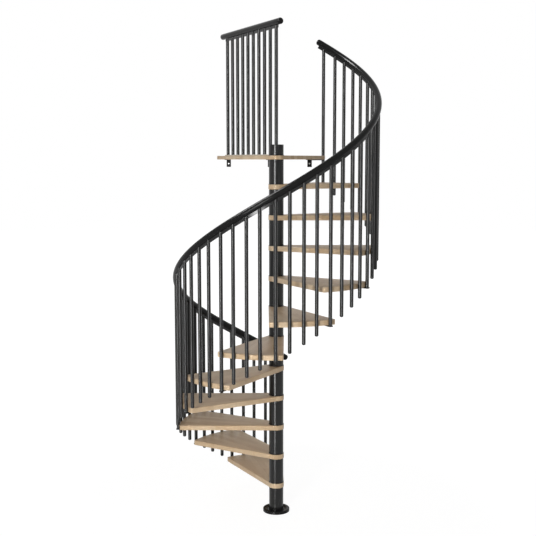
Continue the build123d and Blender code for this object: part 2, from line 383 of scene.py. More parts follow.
def outward(solid):
    """The solid with its faces turned outwards: the signed volume summed over them is positive."""
    points, quads, lids = solid
    a, b, c, d = (points[quads[:, i]] for i in range(4))
    volume = np.einsum("ij,ij->", a, np.cross(b, c)) + np.einsum("ij,ij->", a, np.cross(c, d))
    for lid in lids:
        ring = points[np.asarray(lid)]
        centre = ring.mean(axis=0)
        volume += np.einsum("ij,ij->", np.cross(ring, np.roll(ring, -1, axis=0)), centre[None, :])
    if volume < 0:
        quads = quads[:, ::-1]
        lids = [np.asarray(lid)[::-1] for lid in lids]
    return points, quads, lids


def make_piece(name, solids, material, nodes=(), place=None):
    """Mesh object from solids, smooth but for its sharp edges, which rides on the stair.

    Place gives each point's own place in its board, which the wood's pattern follows.
    """
    points, faces = join_solids([outward(solid) for solid in solids])
    mesh = bpy.data.meshes.new(name)
    mesh.from_pydata(points.tolist(), [], faces)
    mesh.polygons.foreach_set("use_smooth", np.ones(len(mesh.polygons), dtype=bool))
    mesh.set_sharp_from_angle(angle=SHARP_ANGLE)
    if place is not None:
        layer = mesh.attributes.new("board_place", "FLOAT_VECTOR", "POINT")
        layer.data.foreach_set("vector", np.ascontiguousarray(place, dtype=np.float32).ravel())
    mesh.materials.append(material)
    mesh.update()
    piece = bpy.data.objects.new(name, mesh)
    bpy.context.scene.collection.objects.link(piece)
    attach(piece, "root")
    if nodes:
        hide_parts(*nodes)
    return piece


def full_turn(count):
    """Angles of a number of points spread evenly round a circle."""
    return np.linspace(0, 2 * math.pi, count, endpoint=False)


def revolve(profile, x, y, sides):
    """Rings of points: a profile's (radius, height) points carried round an axis at x, y."""
    profile = np.asarray(profile, dtype=float)
    turn = full_turn(sides)
    radius = profile[:, 0][:, None]
    height = np.broadcast_to(profile[:, 1][:, None], (len(profile), sides))
    return np.stack([x + radius * np.cos(turn), y + radius * np.sin(turn), height], axis=-1)


def turned_solid(profile, x=0.0, y=0.0, sides=TURNED_SIDES):
    """Turned solid: an open profile carried round an upright axis, with a lid on each end."""
    return closed_tube(revolve(profile, x, y, sides))


def turned_ring(profile, sides):
    """Turned ring about the column: a closed profile whose last point joins the first."""
    points = revolve(profile, 0.0, 0.0, sides)
    quads = grid_quads(len(points) + 1, sides) % (len(points) * sides)
    return points.reshape(-1, 3), quads, []


def rounding(radius, x, y, start, count=DISC_RIM_POINTS):
    """Quarter circle about x, y from the start angle (degrees) on, counter-clockwise, as points."""
    return polar(radius, np.radians(start) + np.linspace(0, math.pi / 2, count)) + [x, y]


def rounded_disc(radius, bottom, top, rim):
    """Profile of a disc with rounded rims, from near its underside's middle to near its top's."""
    low = rounding(rim, radius - rim, bottom + rim, -90)
    high = rounding(rim, radius - rim, top - rim, 0)
    hub = radius * HUB_SHARE
    return np.concatenate([[[hub, bottom]], low, high, [[hub, top]]])


def tube_profile(bottom, top):
    """Profile of a length of column tube, with a narrow flat lip inwards at each end."""
    inner = COLUMN_RADIUS - TUBE_LIP
    return [(inner, bottom), (COLUMN_RADIUS, bottom), (COLUMN_RADIUS, top), (inner, top)]


def cover_profile():
    """Closed profile of the base cover: rounded rim, seat round the column and inside."""
    shoulder = COVER_HEIGHT - COVER_RIM
    rim = rounding(COVER_RIM, COVER_RADIUS - COVER_RIM, shoulder, 0, COVER_RIM_POINTS)
    inner = COLUMN_RADIUS + COVER_CLEARANCE
    under = COVER_HEIGHT - COVER_WALL
    seat_height = COVER_HEIGHT - SEAT_DEPTH
    seat = rounding(SEAT_WIDTH, COLUMN_RADIUS + SEAT_INNER, seat_height, 0, SEAT_POINTS)
    seat[:, 1] = seat_height
    return np.concatenate([
        [[COVER_RADIUS - COVER_WALL, 0.0], [COVER_RADIUS, 0.0]],
        rim,
        [[COLUMN_RADIUS + SEAT_OUTER, COVER_HEIGHT]],
        [[COLUMN_RADIUS + SEAT_INNER + SEAT_WIDTH, COVER_HEIGHT - SEAT_BEVEL]],
        seat,
        [[inner, seat_height], [inner, under]],
        [[COVER_RADIUS - COVER_RIM, under], [COVER_RADIUS - COVER_WALL, shoulder]],
    ])


def board(near, far, bottom, top, rim):
    """Closed board between two half outlines of one length, which share their two end points.

    The halves make one loop. Each rim point is the loop's point moved inwards by the inset of a
    rounded edge profile, and raised to the profile's height; strips between the halves close it.
    """
    loop = np.concatenate([near, far[-2:0:-1]])
    along = np.roll(loop, -1, axis=0) - np.roll(loop, 1, axis=0)
    along /= np.linalg.norm(along, axis=1)[:, None]
    inwards = np.stack([-along[:, 1], along[:, 0]], axis=-1)
    turn = np.linspace(0, math.pi / 2, RIM_POINTS)
    inset = np.concatenate([rim * (1 - np.sin(turn)), rim * (1 - np.cos(turn))])
    height = np.concatenate([bottom + rim * (1 - np.cos(turn)), top - rim * (1 - np.sin(turn))])
    plan = loop[None, :, :] + inset[:, None, None] * inwards[None, :, :]
    upright = np.broadcast_to(height[:, None, None], plan.shape[:2] + (1,))
    points = np.concatenate([plan, upright], axis=-1)
    rows, columns = points.shape[:2]
    step = np.arange(1, len(near) - 2)
    strip = np.stack([step, step + 1, columns - step - 1, columns - step], axis=-1)
    lids = [[0, 1, columns - 1], [len(near) - 2, len(near) - 1, len(near)]]
    upper = (rows - 1) * columns
    quads = np.concatenate([grid_quads(rows, columns), strip + upper, strip[:, ::-1]])
    ends = [np.array(lid) + upper for lid in lids] + [np.array(lid)[::-1] for lid in lids]
    return points.reshape(-1, 3), quads, ends


def blunted(before, corner, after):
    """Rounded corner: the quadratic curve from one point to another that leans on the corner."""
    t = np.linspace(0, 1, CORNER_POINTS)[:, None]
    return (1 - t) ** 2 * before + 2 * t * (1 - t) * corner + t ** 2 * after


def polar(radius, angle):
    """Plan points at a radius and one or more angles."""
    return np.stack([radius * np.cos(angle), radius * np.sin(angle)], axis=-1)


def turned(points, angle):
    """Points whose plan is turned about the column; their heights stay."""
    c, s = math.cos(angle), math.sin(angle)
    plan = points[:, :2] @ np.array([[c, s], [-s, c]])
    return np.concatenate([plan, points[:, 2:]], axis=1)


def tread_half(side, reach):
    """Half of a tread's outline with its middle line on +X, from the nose's middle to the tip's.

    An arc about the column, the tangent edge, a rounded corner and an arc of the outer circle.
    """
    swing = math.asin(TIP_OFFSET / TREAD_RADIUS)
    corner_angle = STEP / 2 + swing
    root_angle = corner_angle + math.acos(NOSE_RADIUS / TREAD_RADIUS)
    nose = polar(NOSE_RADIUS, np.linspace(math.pi, root_angle, NOSE_POINTS))
    corner = polar(TREAD_RADIUS, corner_angle)
    edge = nose[-1] - corner
    before = corner + edge * (reach / np.linalg.norm(edge))
    tip = polar(TREAD_RADIUS, np.linspace(corner_angle - reach / TREAD_RADIUS, 0, TIP_POINTS))
    half = np.concatenate([nose, blunted(before, corner, tip[0]), tip[1:]])
    return half * np.array([1.0, side])


def rear_corners():
    """Right and left rear corners of the landing: each tangent edge's reach from the round nose."""
    right = polar(NOSE_RADIUS, LANDING_RIGHT - math.pi / 2)
    left = polar(NOSE_RADIUS, LANDING_LEFT + math.pi / 2)
    return (right + polar(LANDING_RIGHT_REACH, LANDING_RIGHT),
            left + polar(LANDING_LEFT_REACH, LANDING_LEFT))


def landing_half(side, reach):
    """Half of the landing's outline, from the nose's middle to the middle of the rear edge."""
    right, left = rear_corners()
    middle = (LANDING_LEFT + LANDING_RIGHT) / 2 + math.pi
    rear = (right + left) / 2
    if side > 0:
        root, corner = LANDING_RIGHT + 1.5 * math.pi, right
    else:
        root, corner = LANDING_LEFT + math.pi / 2, left
    nose = polar(NOSE_RADIUS, np.linspace(middle, root, LANDING_NOSE_POINTS))
    back = nose[-1] - corner
    on = rear - corner
    before = corner + back * (reach / np.linalg.norm(back))
    after = corner + on * (reach / np.linalg.norm(on))
    return np.concatenate([nose, blunted(before, corner, after), [rear]])


def box_half(side, start, end, half_width, reach):
    """Half of a rounded rectangle along +X, from the middle of its start to that of its end."""
    first = np.array([start, half_width])
    last = np.array([end, half_width])
    along, across = np.array([reach, 0.0]), np.array([0.0, reach])
    half = np.concatenate([
        [[start, 0.0]],
        blunted(first - across, first, first + along),
        blunted(last - along, last, last - across),
        [[end, 0.0]],
    ])
    return half * np.array([1.0, side])


def grip_height(angle):
    """Height of the stair grip's axis at an angle that counts up through the turn."""
    return ((angle - FIRST_EDGE) / STEP + 1) * RISER + GRIP_OVER_TREADS


def helix_frames(angles):
    """Origins, outward and upward directions and tangents of sections along the helical rail."""
    zero = np.zeros_like(angles)
    c, s = np.cos(angles), np.sin(angles)
    flat, steep = math.cos(SLOPE), math.sin(SLOPE)
    origin = np.stack([BALUSTER_CIRCLE * c, BALUSTER_CIRCLE * s, grip_height(angles)], axis=-1)
    out = np.stack([c, s, zero], axis=-1)
    tangent = np.stack([-s * flat, c * flat, zero + steep], axis=-1)
    up = np.stack([s * steep, -c * steep, zero + flat], axis=-1)
    return origin, out, up, tangent


def landing_frames(along):
    """Origins, sideways and upward directions and tangents of sections of the landing's rail."""
    along = np.asarray(along, dtype=float)
    direction = np.array([math.cos(LANDING_LEFT), math.sin(LANDING_LEFT), 0.0])
    origin = along[:, None] * direction + np.array([0.0, 0.0, LANDING_GRIP_HEIGHT])
    out = np.broadcast_to([direction[1], -direction[0], 0.0], origin.shape)
    up = np.broadcast_to([0.0, 0.0, 1.0], origin.shape)
    return origin, out, up, np.broadcast_to(direction, origin.shape)


def carried(section, frames, scale=None):
    """Skin of a section's (out, up) points carried along frames; scale shrinks it at each one."""
    origin, out, up, _ = frames
    section = np.asarray(section, dtype=float)
    size = np.ones(len(origin)) if scale is None else scale
    across = section[None, :, 0, None] * size[:, None, None]
    rise = section[None, :, 1, None] * size[:, None, None]
    return closed_tube(origin[:, None, :] + across * out[:, None, :] + rise * up[:, None, :])


def grip_skin(frames):
    """Round grip along frames, with an elliptical dome beyond each end.

    A dome's section at a share of its length is the grip's circle times the root of one less the
    share squared, moved on along the end's tangent.
    """
    origin, out, up, tangent = frames
    share = np.sin(np.linspace(0, math.pi / 2, CAP_STATIONS))[1:-1]
    share = np.append(share, CAP_TIP_SHARE)
    shrink = np.sqrt(1 - share ** 2)
    first = origin[0] - tangent[0] * (share * CAP_LENGTH)[::-1, None]
    last = origin[-1] + tangent[-1] * (share * CAP_LENGTH)[:, None]
    middle = np.concatenate([first, origin, last])
    ends = ((len(share), len(share)), (0, 0))
    stations = (middle, np.pad(out, ends, "edge"), np.pad(up, ends, "edge"), None)
    scale = np.concatenate([shrink[::-1], np.ones(len(origin)), shrink])
    return carried(polar(GRIP_RADIUS, full_turn(GRIP_SIDES)), stations, scale)


def flat_section():
    """Section of the flat bar under a grip, with small bevels."""
    half, bevel = FLAT_THICKNESS / 2, FLAT_BEVEL
    return np.array([
        (half, FLAT_BOTTOM + bevel), (half, FLAT_TOP - bevel),
        (half - bevel, FLAT_TOP), (bevel - half, FLAT_TOP),
        (-half, FLAT_TOP - bevel), (-half, FLAT_BOTTOM + bevel),
        (bevel - half, FLAT_BOTTOM), (half - bevel, FLAT_BOTTOM),
    ])


def bar_end(plugged):
    """Shares of the radius, and heights, of the rings at a baluster's lower end.

    A plug is a quarter ellipse with a shallow groove above it; a plain end has a small bevel.
    """
    if not plugged:
        return np.array([BAR_END_SHARE, 1.0]), np.array([0.0, BAR_END_BEVEL])
    height = sizes().dome_height
    turn = np.linspace(0.0, math.pi / 2, PLUG_RINGS)
    shares = np.sin(turn)
    shares[0] = PLUG_TIP_SHARE
    heights = height * (1 - np.cos(turn))
    groove = height + np.array(PLUG_GROOVE_RISES)
    return np.concatenate([shares, PLUG_GROOVE_SHARES]), np.concatenate([heights, groove])


def round_bars(frames, feet, plugs):
    """Round balusters below a rail's frames, their tops cut on the rail's slope under the grip.

    Each ring is a circle about the bar's axis. The lowest rings are those of the bar's end, and
    the top ring rises and falls with the slope along the rail's tangent.
    """
    origin, _, up, _ = frames
    ring = polar(BALUSTER_RADIUS, full_turn(BAR_SIDES))
    solids = []
    for index in range(len(origin)):
        shares, heights = bar_end(plugs[index])
        slant = -(ring @ up[index, :2]) / up[index, 2]
        shoulder = origin[index, 2] - (GRIP_RADIUS - BAR_TOP_LAP) / up[index, 2] + slant
        low = np.broadcast_to((feet[index] + heights)[:, None], (len(heights), BAR_SIDES))
        levels = np.concatenate([low, [shoulder - BAR_TOP_BEVEL, shoulder]])
        shares = np.concatenate([shares, [1.0, BAR_TOP_SHARE]])
        plan = origin[index, :2] + shares[:, None, None] * ring[None, :, :]
        solids.append(closed_tube(np.concatenate([plan, levels[:, :, None]], axis=-1)))
    return solids


def facing(normal):
    """Two directions square to a normal, as rows."""
    normal = np.asarray(normal, dtype=float)
    side = np.cross(normal, [0.0, 0.0, 1.0] if abs(normal[2]) < 0.9 else [1.0, 0.0, 0.0])
    side /= np.linalg.norm(side)
    return np.stack([side, np.cross(normal, side)])


def screw_head(place, normal, radius):
    """Pan head with a round socket: a turned profile that stands on a face along its normal."""
    profile = SCREW_PROFILE * radius
    circle = profile[:, :1, None] * (polar(1.0, full_turn(SCREW_SIDES)) @ facing(normal))[None]
    return closed_tube(np.asarray(place) + circle + profile[:, 1:, None] * np.asarray(normal))


# Finishes

def add_node(tree, kind, links=None, **settings):
    """Shader node with settings and inputs; an input is a socket to link or a value to set."""
    node = tree.nodes.new(kind)
    for key, value in settings.items():
        setattr(node, key, value)
    for key, value in (links or {}).items():
        feed(tree, node.inputs[key], value)
    return node


def feed(tree, socket, value):
    """Links a socket to another, or sets its value."""
    if isinstance(value, bpy.types.NodeSocket):
        tree.links.new(value, socket)
    else:
        socket.default_value = value


def maths(tree, operation, a, b=0.0):
    """Result of a sum on two values or sockets."""
    return add_node(tree, "ShaderNodeMath", {0: a, 1: b}, operation=operation).outputs[0]


def blend_colours(tree, mode, factor, a, b):
    """Colour mix of two colours or sockets."""
    node = add_node(tree, "ShaderNodeMix", data_type="RGBA", blend_type=mode, clamp_factor=True)
    for index, value in ((0, factor), (6, a), (7, b)):
        feed(tree, node.inputs[index], value)
    return node.outputs[2]


def remap(tree, value, low, high, to_low, to_high):
    """Value carried from one range to another and kept inside it."""
    links = {0: value, 1: low, 2: high, 3: to_low, 4: to_high}
    return add_node(tree, "ShaderNodeMapRange", links).outputs[0]


def stretched_noise(tree, vector, stretch, scale, detail=3.0, rough=0.55, distortion=0.0):
    """Noise on a stretched vector, so that its spots become streaks."""
    mapped = add_node(tree, "ShaderNodeMapping", {"Vector": vector, "Scale": stretch})
    links = {"Vector": mapped.outputs[0], "Scale": scale, "Detail": detail,
             "Roughness": rough, "Distortion": distortion}
    return add_node(tree, "ShaderNodeTexNoise", links).outputs[0]


def seen_rays(tree):
    """One for rays from the camera, reflections and clear bodies, and nought for the rest."""
    path = add_node(tree, "ShaderNodeLightPath")
    both = maths(tree, "MAXIMUM", path.outputs["Is Camera Ray"], path.outputs["Is Glossy Ray"])
    return maths(tree, "MAXIMUM", both, path.outputs["Is Transmission Ray"])


def object_place(tree):
    """A point's place in the stair's own frame."""
    return add_node(tree, "ShaderNodeTexCoord").outputs["Object"]


def board_place(tree):
    """A point's place in its board: along the grain, across it and upwards."""
    return add_node(tree, "ShaderNodeAttribute", attribute_name="board_place").outputs["Vector"]


def new_finish(name):
    """Empty node material with its tree and shader, or the one made before."""
    made = bpy.data.materials.get(name)
    if made is not None:
        return made, None, None
    made = bpy.data.materials.new(name)
    made.use_nodes = True
    tree = made.node_tree
    return made, tree, tree.nodes["Principled BSDF"]


def beech_finish():
    """Glued beech staves, each of its own tone, with bands, streaks, flecks and thin joints."""
    made, tree, shader = new_finish("beech_staves")
    if tree is None:
        return made
    place = board_place(tree)
    split = add_node(tree, "ShaderNodeSeparateXYZ", {0: place})
    along, across = split.outputs[0], split.outputs[1]

    # Each row of staves is shifted by a chance of its own, and each stave has its own chances
    row = maths(tree, "DIVIDE", across, sizes().stave_width)
    row_index = maths(tree, "FLOOR", row)
    row_noise = add_node(tree, "ShaderNodeTexWhiteNoise", {"W": row_index}, noise_dimensions="1D")
    run = maths(tree, "DIVIDE", along, sizes().stave_length)
    run = maths(tree, "ADD", run, row_noise.outputs[0])
    run_index = maths(tree, "FLOOR", run)
    cell = add_node(tree, "ShaderNodeCombineXYZ", {0: row_index, 1: run_index}).outputs[0]
    chance = add_node(tree, "ShaderNodeTexWhiteNoise", {"Vector": cell}, noise_dimensions="3D")
    shift = add_node(tree, "ShaderNodeVectorMath", {0: chance.outputs[1], 1: STAVE_SHIFT},
                     operation="MULTIPLY")
    moved = add_node(tree, "ShaderNodeVectorMath", {0: place, 1: shift.outputs[0]}, operation="ADD")
    grain = moved.outputs[0]

    light = (*colours().beech_light, 1.0)
    dark = (*colours().beech_dark, 1.0)
    colour = blend_colours(tree, "MIX", chance.outputs[0], dark, light)
    bands = remap(tree, stretched_noise(tree, grain, *BAND_NOISE), *BAND_RANGE)
    colour = blend_colours(tree, "MULTIPLY", bands, colour, BAND_TINT)
    streaks = stretched_noise(tree, grain, *STREAK_NOISE)
    lines = remap(tree, streaks, *STREAK_RANGE)
    colour = blend_colours(tree, "MULTIPLY", lines, colour, STREAK_TINT)
    flecks = remap(tree, stretched_noise(tree, grain, *FLECK_NOISE), *FLECK_RANGE)
    colour = blend_colours(tree, "MULTIPLY", flecks, colour, FLECK_TINT)
    side = remap(tree, maths(tree, "PINGPONG", row, 0.5), *SIDE_JOINT)
    end = remap(tree, maths(tree, "PINGPONG", run, 0.5), *END_JOINT)
    joint = maths(tree, "MAXIMUM", side, end)
    strength = maths(tree, "MULTIPLY", joint, JOINT_STRENGTH)
    colour = blend_colours(tree, "MULTIPLY", strength, colour, JOINT_TINT)

    tree.links.new(colour, shader.inputs["Base Color"])
    tree.links.new(remap(tree, streaks, *BEECH_ROUGHNESS), shader.inputs["Roughness"])
    raised = maths(tree, "MULTIPLY", streaks, STREAK_RELIEF)
    relief = maths(tree, "SUBTRACT", raised, maths(tree, "ADD", joint, flecks))
    links = {"Strength": RELIEF_STRENGTH, "Distance": RELIEF_DEPTH, "Height": relief}
    bump = add_node(tree, "ShaderNodeBump", links)
    tree.links.new(bump.outputs[0], shader.inputs["Normal"])
    shader.inputs["Specular IOR Level"].default_value = BEECH_GLEAM
    return made


def strip_finish():
    """Pale lacquered strip with a fine straight grain along the landing's railing."""
    made, tree, shader = new_finish("pale_strip_wood")
    if tree is None:
        return made
    streaks = stretched_noise(tree, board_place(tree), *STRIP_NOISE)
    base = (*colours().strip, 1.0)
    colour = blend_colours(tree, "MULTIPLY", remap(tree, streaks, *STRIP_RANGE), base, STRIP_TINT)
    tree.links.new(colour, shader.inputs["Base Color"])
    tree.links.new(remap(tree, streaks, *STRIP_ROUGHNESS), shader.inputs["Roughness"])
    return made


def coated_finish(name, base, rough, grit, gleam):
    """Coated metal or moulded plastic: a fine grit in the coat, and clouds of tone and gloss."""
    made, tree, shader = new_finish(name)
    if tree is None:
        return made
    place = object_place(tree)
    cloud = stretched_noise(tree, place, EVEN, CLOUD_SCALE, 1.0)
    fine = stretched_noise(tree, place, EVEN, grit, 2.0)
    lighter = tuple(min(1.0, x * LIGHTER_SHARE + LIGHTER_STEP) for x in base)
    tone = remap(tree, cloud, *CLOUD_TONE)
    colour = blend_colours(tree, "MIX", tone, (*base, 1.0), (*lighter, 1.0))
    tree.links.new(colour, shader.inputs["Base Color"])
    wide = remap(tree, cloud, *NOISE_SPAN, rough - CLOUD_GLOSS, rough + CLOUD_GLOSS)
    small = remap(tree, fine, *NOISE_SPAN, -GRIT_GLOSS, GRIT_GLOSS)
    tree.links.new(maths(tree, "ADD", wide, small), shader.inputs["Roughness"])
    shader.inputs["Specular IOR Level"].default_value = gleam
    return made


def steel_finish():
    """Satin black coat of the column, balusters and bars."""
    return coated_finish("black_coat", tuple(colours().steel), rough=0.19, grit=900.0, gleam=0.24)


def grip_finish():
    """Smooth black plastic of the grips and the base cover."""
    return coated_finish("black_grip", tuple(colours().grip), rough=0.20, grit=500.0, gleam=0.08)


def collar_finish():
    """Dull black coat of the collars, feet, brackets and dark screws."""
    return coated_finish("black_collar", tuple(colours().grip), rough=0.42, grit=700.0, gleam=0.12)


def zinc_finish():
    """Zinc plated steel of the hidden pole and of the bright screws, with soft spangles."""
    made, tree, shader = new_finish("zinc_plate")
    if tree is None:
        return made
    links = {"Vector": object_place(tree), "Scale": SPANGLE_SCALE}
    spangle = add_node(tree, "ShaderNodeTexVoronoi", links).outputs["Color"]
    level = add_node(tree, "ShaderNodeSeparateColor", {0: spangle}).outputs[0]
    colour = blend_colours(tree, "MIX", level, ZINC_DARK, ZINC_LIGHT)
    tree.links.new(colour, shader.inputs["Base Color"])
    tree.links.new(remap(tree, level, *ZINC_ROUGHNESS), shader.inputs["Roughness"])
    shader.inputs["Metallic"].default_value = 1.0
    return made


def dress_node(node, finish):
    """Gives a CAD node its finish."""
    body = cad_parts[node]
    body.data.materials.clear()
    body.data.materials.append(finish)


# Pieces

def baluster_angles():
    """Angles, lower ends and plug marks of the stair's balusters after the first one."""
    number = np.arange(1, TREAD_COUNT + 1)
    start = FIRST_EDGE + (number - 1) * STEP
    between = (start[:, None] + BETWEEN_SHIFTS[None, :]).ravel()
    corner = start + STEP + CORNER_SHIFT
    feet = np.concatenate([grip_height(between) - BALUSTER_DROP, number * RISER - TREAD_THICKNESS])
    plugs = np.concatenate([np.ones(len(between), dtype=bool), np.zeros(len(corner), dtype=bool)])
    return np.concatenate([between, corner]), feet, plugs


class STAIR_OT_column(bpy.types.Operator):
    """Make the column's lengths, its collars and its flat head"""

    bl_idname = "stair.column"
    bl_label = "Column"

    def execute(self, context):
        floors = np.concatenate([np.arange(1, TREAD_COUNT + 1) * RISER, [LANDING_TOP]])
        under_landing = LANDING_TOP - LANDING_THICKNESS
        ceilings = np.concatenate([floors[1:-1] - TREAD_THICKNESS, [under_landing, HEAD_TOP]])
        lengths = [turned_solid(tube_profile(PLATE_TOP, RISER - TREAD_THICKNESS))]
        collars = []
        for floor, ceiling in zip(floors, ceilings):
            foot = floor + COLLAR_HEIGHT
            if ceiling == HEAD_TOP:
                profile = rounded_disc(COLUMN_RADIUS, foot, ceiling, HEAD_RIM)
            else:
                profile = tube_profile(foot, ceiling)
            lengths.append(turned_solid(profile))
            collars.append(turned_solid(rounded_disc(COLLAR_RADIUS, floor, foot, COLLAR_RIM)))
        make_piece("column_tube", lengths, steel_finish(),
                   ("column_foot", "column_spacers", "column_head"))
        make_piece("column_collars", collars, collar_finish())
        return {"FINISHED"}


class STAIR_OT_base(bpy.types.Operator):
    """Make the round cover at the column's foot and finish the plate and pole under it"""

    bl_idname = "stair.base"
    bl_label = "Base"

    def execute(self, context):
        cover = turned_ring(cover_profile(), COVER_SIDES)
        make_piece("base_cover_skin", [cover], grip_finish(), ("base_cover",))
        dress_node("base_plate", steel_finish())
        dress_node("center_pole", zinc_finish())
        return {"FINISHED"}


class STAIR_OT_treads(bpy.types.Operator):
    """Make the eleven wedge treads of glued staves"""

    bl_idname = "stair.treads"
    bl_label = "Treads"

    def execute(self, context):
        near = tread_half(-1, sizes().corner_rounding)
        far = tread_half(1, sizes().corner_rounding)
        for number in range(1, TREAD_COUNT + 1):
            middle = FIRST_EDGE + (number - 0.5) * STEP
            top = number * RISER
            bottom = top - TREAD_THICKNESS
            points, quads, ends = board(near, far, bottom, top, sizes().board_rounding)
            along = TREAD_GRAIN_STEP[0] * number
            across = TREAD_GRAIN_STEP[1] * (number % TREAD_GRAIN_ROWS)
            make_piece(f"tread_board_{number:02d}", [(turned(points, middle), quads, ends)],
                       beech_finish(), (f"tread_{number:02d}",),
                       place=points + [along, across, 0.0])
        return {"FINISHED"}


class STAIR_OT_landing(bpy.types.Operator):
    """Make the landing board and the pale strip on it"""

    bl_idname = "stair.landing"
    bl_label = "Landing"

    def execute(self, context):
        near = landing_half(1, sizes().corner_rounding)
        far = landing_half(-1, sizes().corner_rounding)
        bottom = LANDING_TOP - LANDING_THICKNESS
        solid = board(near, far, bottom, LANDING_TOP, sizes().board_rounding)
        rear = near[-1] - near[-2]
        place = turned(solid[0], -math.atan2(rear[1], rear[0])) + LANDING_GRAIN_SHIFT
        make_piece("landing_board", [solid], beech_finish(), ("landing",), place=place)
        halves = [box_half(side, STRIP_START, STRIP_END, STRIP_HALF_WIDTH, STRIP_CORNER)
                  for side in (-1, 1)]
        strip_top = LANDING_TOP + STRIP_THICKNESS
        points, quads, ends = board(*halves, LANDING_TOP, strip_top, STRIP_RIM)
        make_piece("landing_strip_board", [(turned(points, LANDING_LEFT), quads, ends)],
                   strip_finish(), ("landing_strip",), place=points)
        return {"FINISHED"}


class STAIR_OT_stair_balusters(bpy.types.Operator):
    """Make the balusters of the stair with their domed plugs, and the first one's round foot"""

    bl_idname = "stair.stair_balusters"
    bl_label = "Stair balusters"

    def execute(self, context):
        angles, feet, plugs = baluster_angles()
        nodes = [f"balusters_{number:02d}" for number in range(1, TREAD_COUNT + 1)]
        bars = round_bars(helix_frames(angles), feet, plugs)
        make_piece("stair_bars", bars, steel_finish(), nodes)
        first = np.array([FIRST_EDGE + CORNER_SHIFT])
        bar = round_bars(helix_frames(first), [START_FOOT_THICKNESS], [False])
        x, y = polar(BALUSTER_CIRCLE, first)[0]
        profile = rounded_disc(START_FOOT_RADIUS, 0.0, START_FOOT_THICKNESS, START_FOOT_RIM)
        foot = turned_solid(profile, x, y, FOOT_SIDES)
        make_piece("start_bar", bar + [foot], steel_finish(), ("start_baluster",))
        return {"FINISHED"}


class STAIR_OT_feet(bpy.types.Operator):
    """Make the flat feet under the treads' trailing corners, with their screws"""

    bl_idname = "stair.feet"
    bl_label = "Feet"

    def execute(self, context):
        half_width = BALUSTER_RADIUS + FOOT_MARGIN
        inner = TREAD_RADIUS - FOOT_REACH
        outer = BALUSTER_CIRCLE + half_width
        halves = [box_half(side, inner, outer, half_width, FOOT_CORNER) for side in (-1, 1)]
        screw_places = (inner + FOOT_SCREW_INSET, BALUSTER_CIRCLE)
        feet, screws = [], []
        for number in range(1, TREAD_COUNT + 1):
            angle = FIRST_EDGE + number * STEP + CORNER_SHIFT
            top = number * RISER - TREAD_THICKNESS
            bottom = top - FOOT_THICKNESS
            points, quads, ends = board(*halves, bottom, top, FOOT_RIM)
            feet.append((turned(points, angle), quads, ends))
            for radius, size in zip(screw_places, FOOT_SCREW_RADII):
                x, y = polar(radius, angle)
                screws.append(screw_head((x, y, bottom), (0.0, 0.0, -1.0), size))
        make_piece("corner_feet", feet, collar_finish(), ("baluster_feet",))
        make_piece("foot_screws", screws, collar_finish())
        return {"FINISHED"}


class STAIR_OT_rails(bpy.types.Operator):
    """Make the grips with domed ends and the flat bars below them"""

    bl_idname = "stair.rails"
    bl_label = "Rails"

    def execute(self, context):
        overhang = FLAT_OVERHANG / BALUSTER_CIRCLE
        first = FIRST_EDGE + CORNER_SHIFT
        last = first + TREAD_COUNT * STEP
        grip_turn = np.linspace(GRIP_START, GRIP_END, STAIR_GRIP_STATIONS)
        flat_turn = np.linspace(first - overhang, last + overhang, STAIR_FLAT_STATIONS)
        self.make_rail("stair", "handrail", helix_frames(grip_turn), helix_frames(flat_turn))
        last = (LANDING_BALUSTERS - 1) * LANDING_PITCH
        grip_run = np.linspace(LANDING_GRIP_NEAR, LANDING_GRIP_FAR, LANDING_GRIP_STATIONS)
        flat_run = np.linspace(-FLAT_OVERHANG, last + FLAT_OVERHANG, LANDING_FLAT_STATIONS)
        self.make_rail("landing", "landing_rail",
                       landing_frames(grip_run), landing_frames(flat_run))
        return {"FINISHED"}

    def make_rail(self, name, node, grip, flat):
        """Grip and flat bar of one rail, each along its own frames."""
        make_piece(f"{name}_grip", [grip_skin(grip)], grip_finish(),
                   (node, f"{node}_caps"))
        make_piece(f"{name}_flat_bar", [carried(flat_section(), flat)], steel_finish(),
                   (f"{node}_bar",))


class STAIR_OT_landing_balusters(bpy.types.Operator):
    """Make the balusters of the landing's railing"""

    bl_idname = "stair.landing_balusters"
    bl_label = "Landing balusters"

    def execute(self, context):
        along = np.arange(LANDING_BALUSTERS) * LANDING_PITCH
        feet = np.full(LANDING_BALUSTERS, LANDING_TOP + STRIP_THICKNESS)
        feet[0] = HEAD_TOP
        plugs = np.zeros(LANDING_BALUSTERS, dtype=bool)
        bars = round_bars(landing_frames(along), feet, plugs)
        make_piece("landing_bars", bars, steel_finish(), ("landing_balusters",))
        return {"FINISHED"}


class STAIR_OT_brackets(bpy.types.Operator):
    """Finish the landing's brackets and its corner arm, and put in their screws"""

    bl_idname = "stair.brackets"
    bl_label = "Brackets"

    def execute(self, context):
        dress_node("landing_brackets", collar_finish())
        dress_node("landing_corner_arm", collar_finish())
        right, left = rear_corners()
        along = (right - left) / np.linalg.norm(right - left)
        out = np.array([-along[1], along[0]])
        under = LANDING_TOP - LANDING_THICKNESS
        height = under - (BRACKET_DROP + BRACKET_THICKNESS) / 2
        dark, bright = [], []
        for share in BRACKET_SHARES:
            edge = left + (right - left) * share
            x, y = edge - out * BRACKET_SCREW_INSET
            dark.append(screw_head((x, y, under - BRACKET_THICKNESS), (0.0, 0.0, -1.0),
                                   BRACKET_SCREW_RADIUS))
            x, y = edge - out * BRACKET_THICKNESS
            bright.append(screw_head((x, y, height), (-out[0], -out[1], 0.0), WALL_SCREW_RADIUS))
        make_piece("bracket_screws", dark, collar_finish())
        make_piece("wall_screws", bright, zinc_finish())
        return {"FINISHED"}


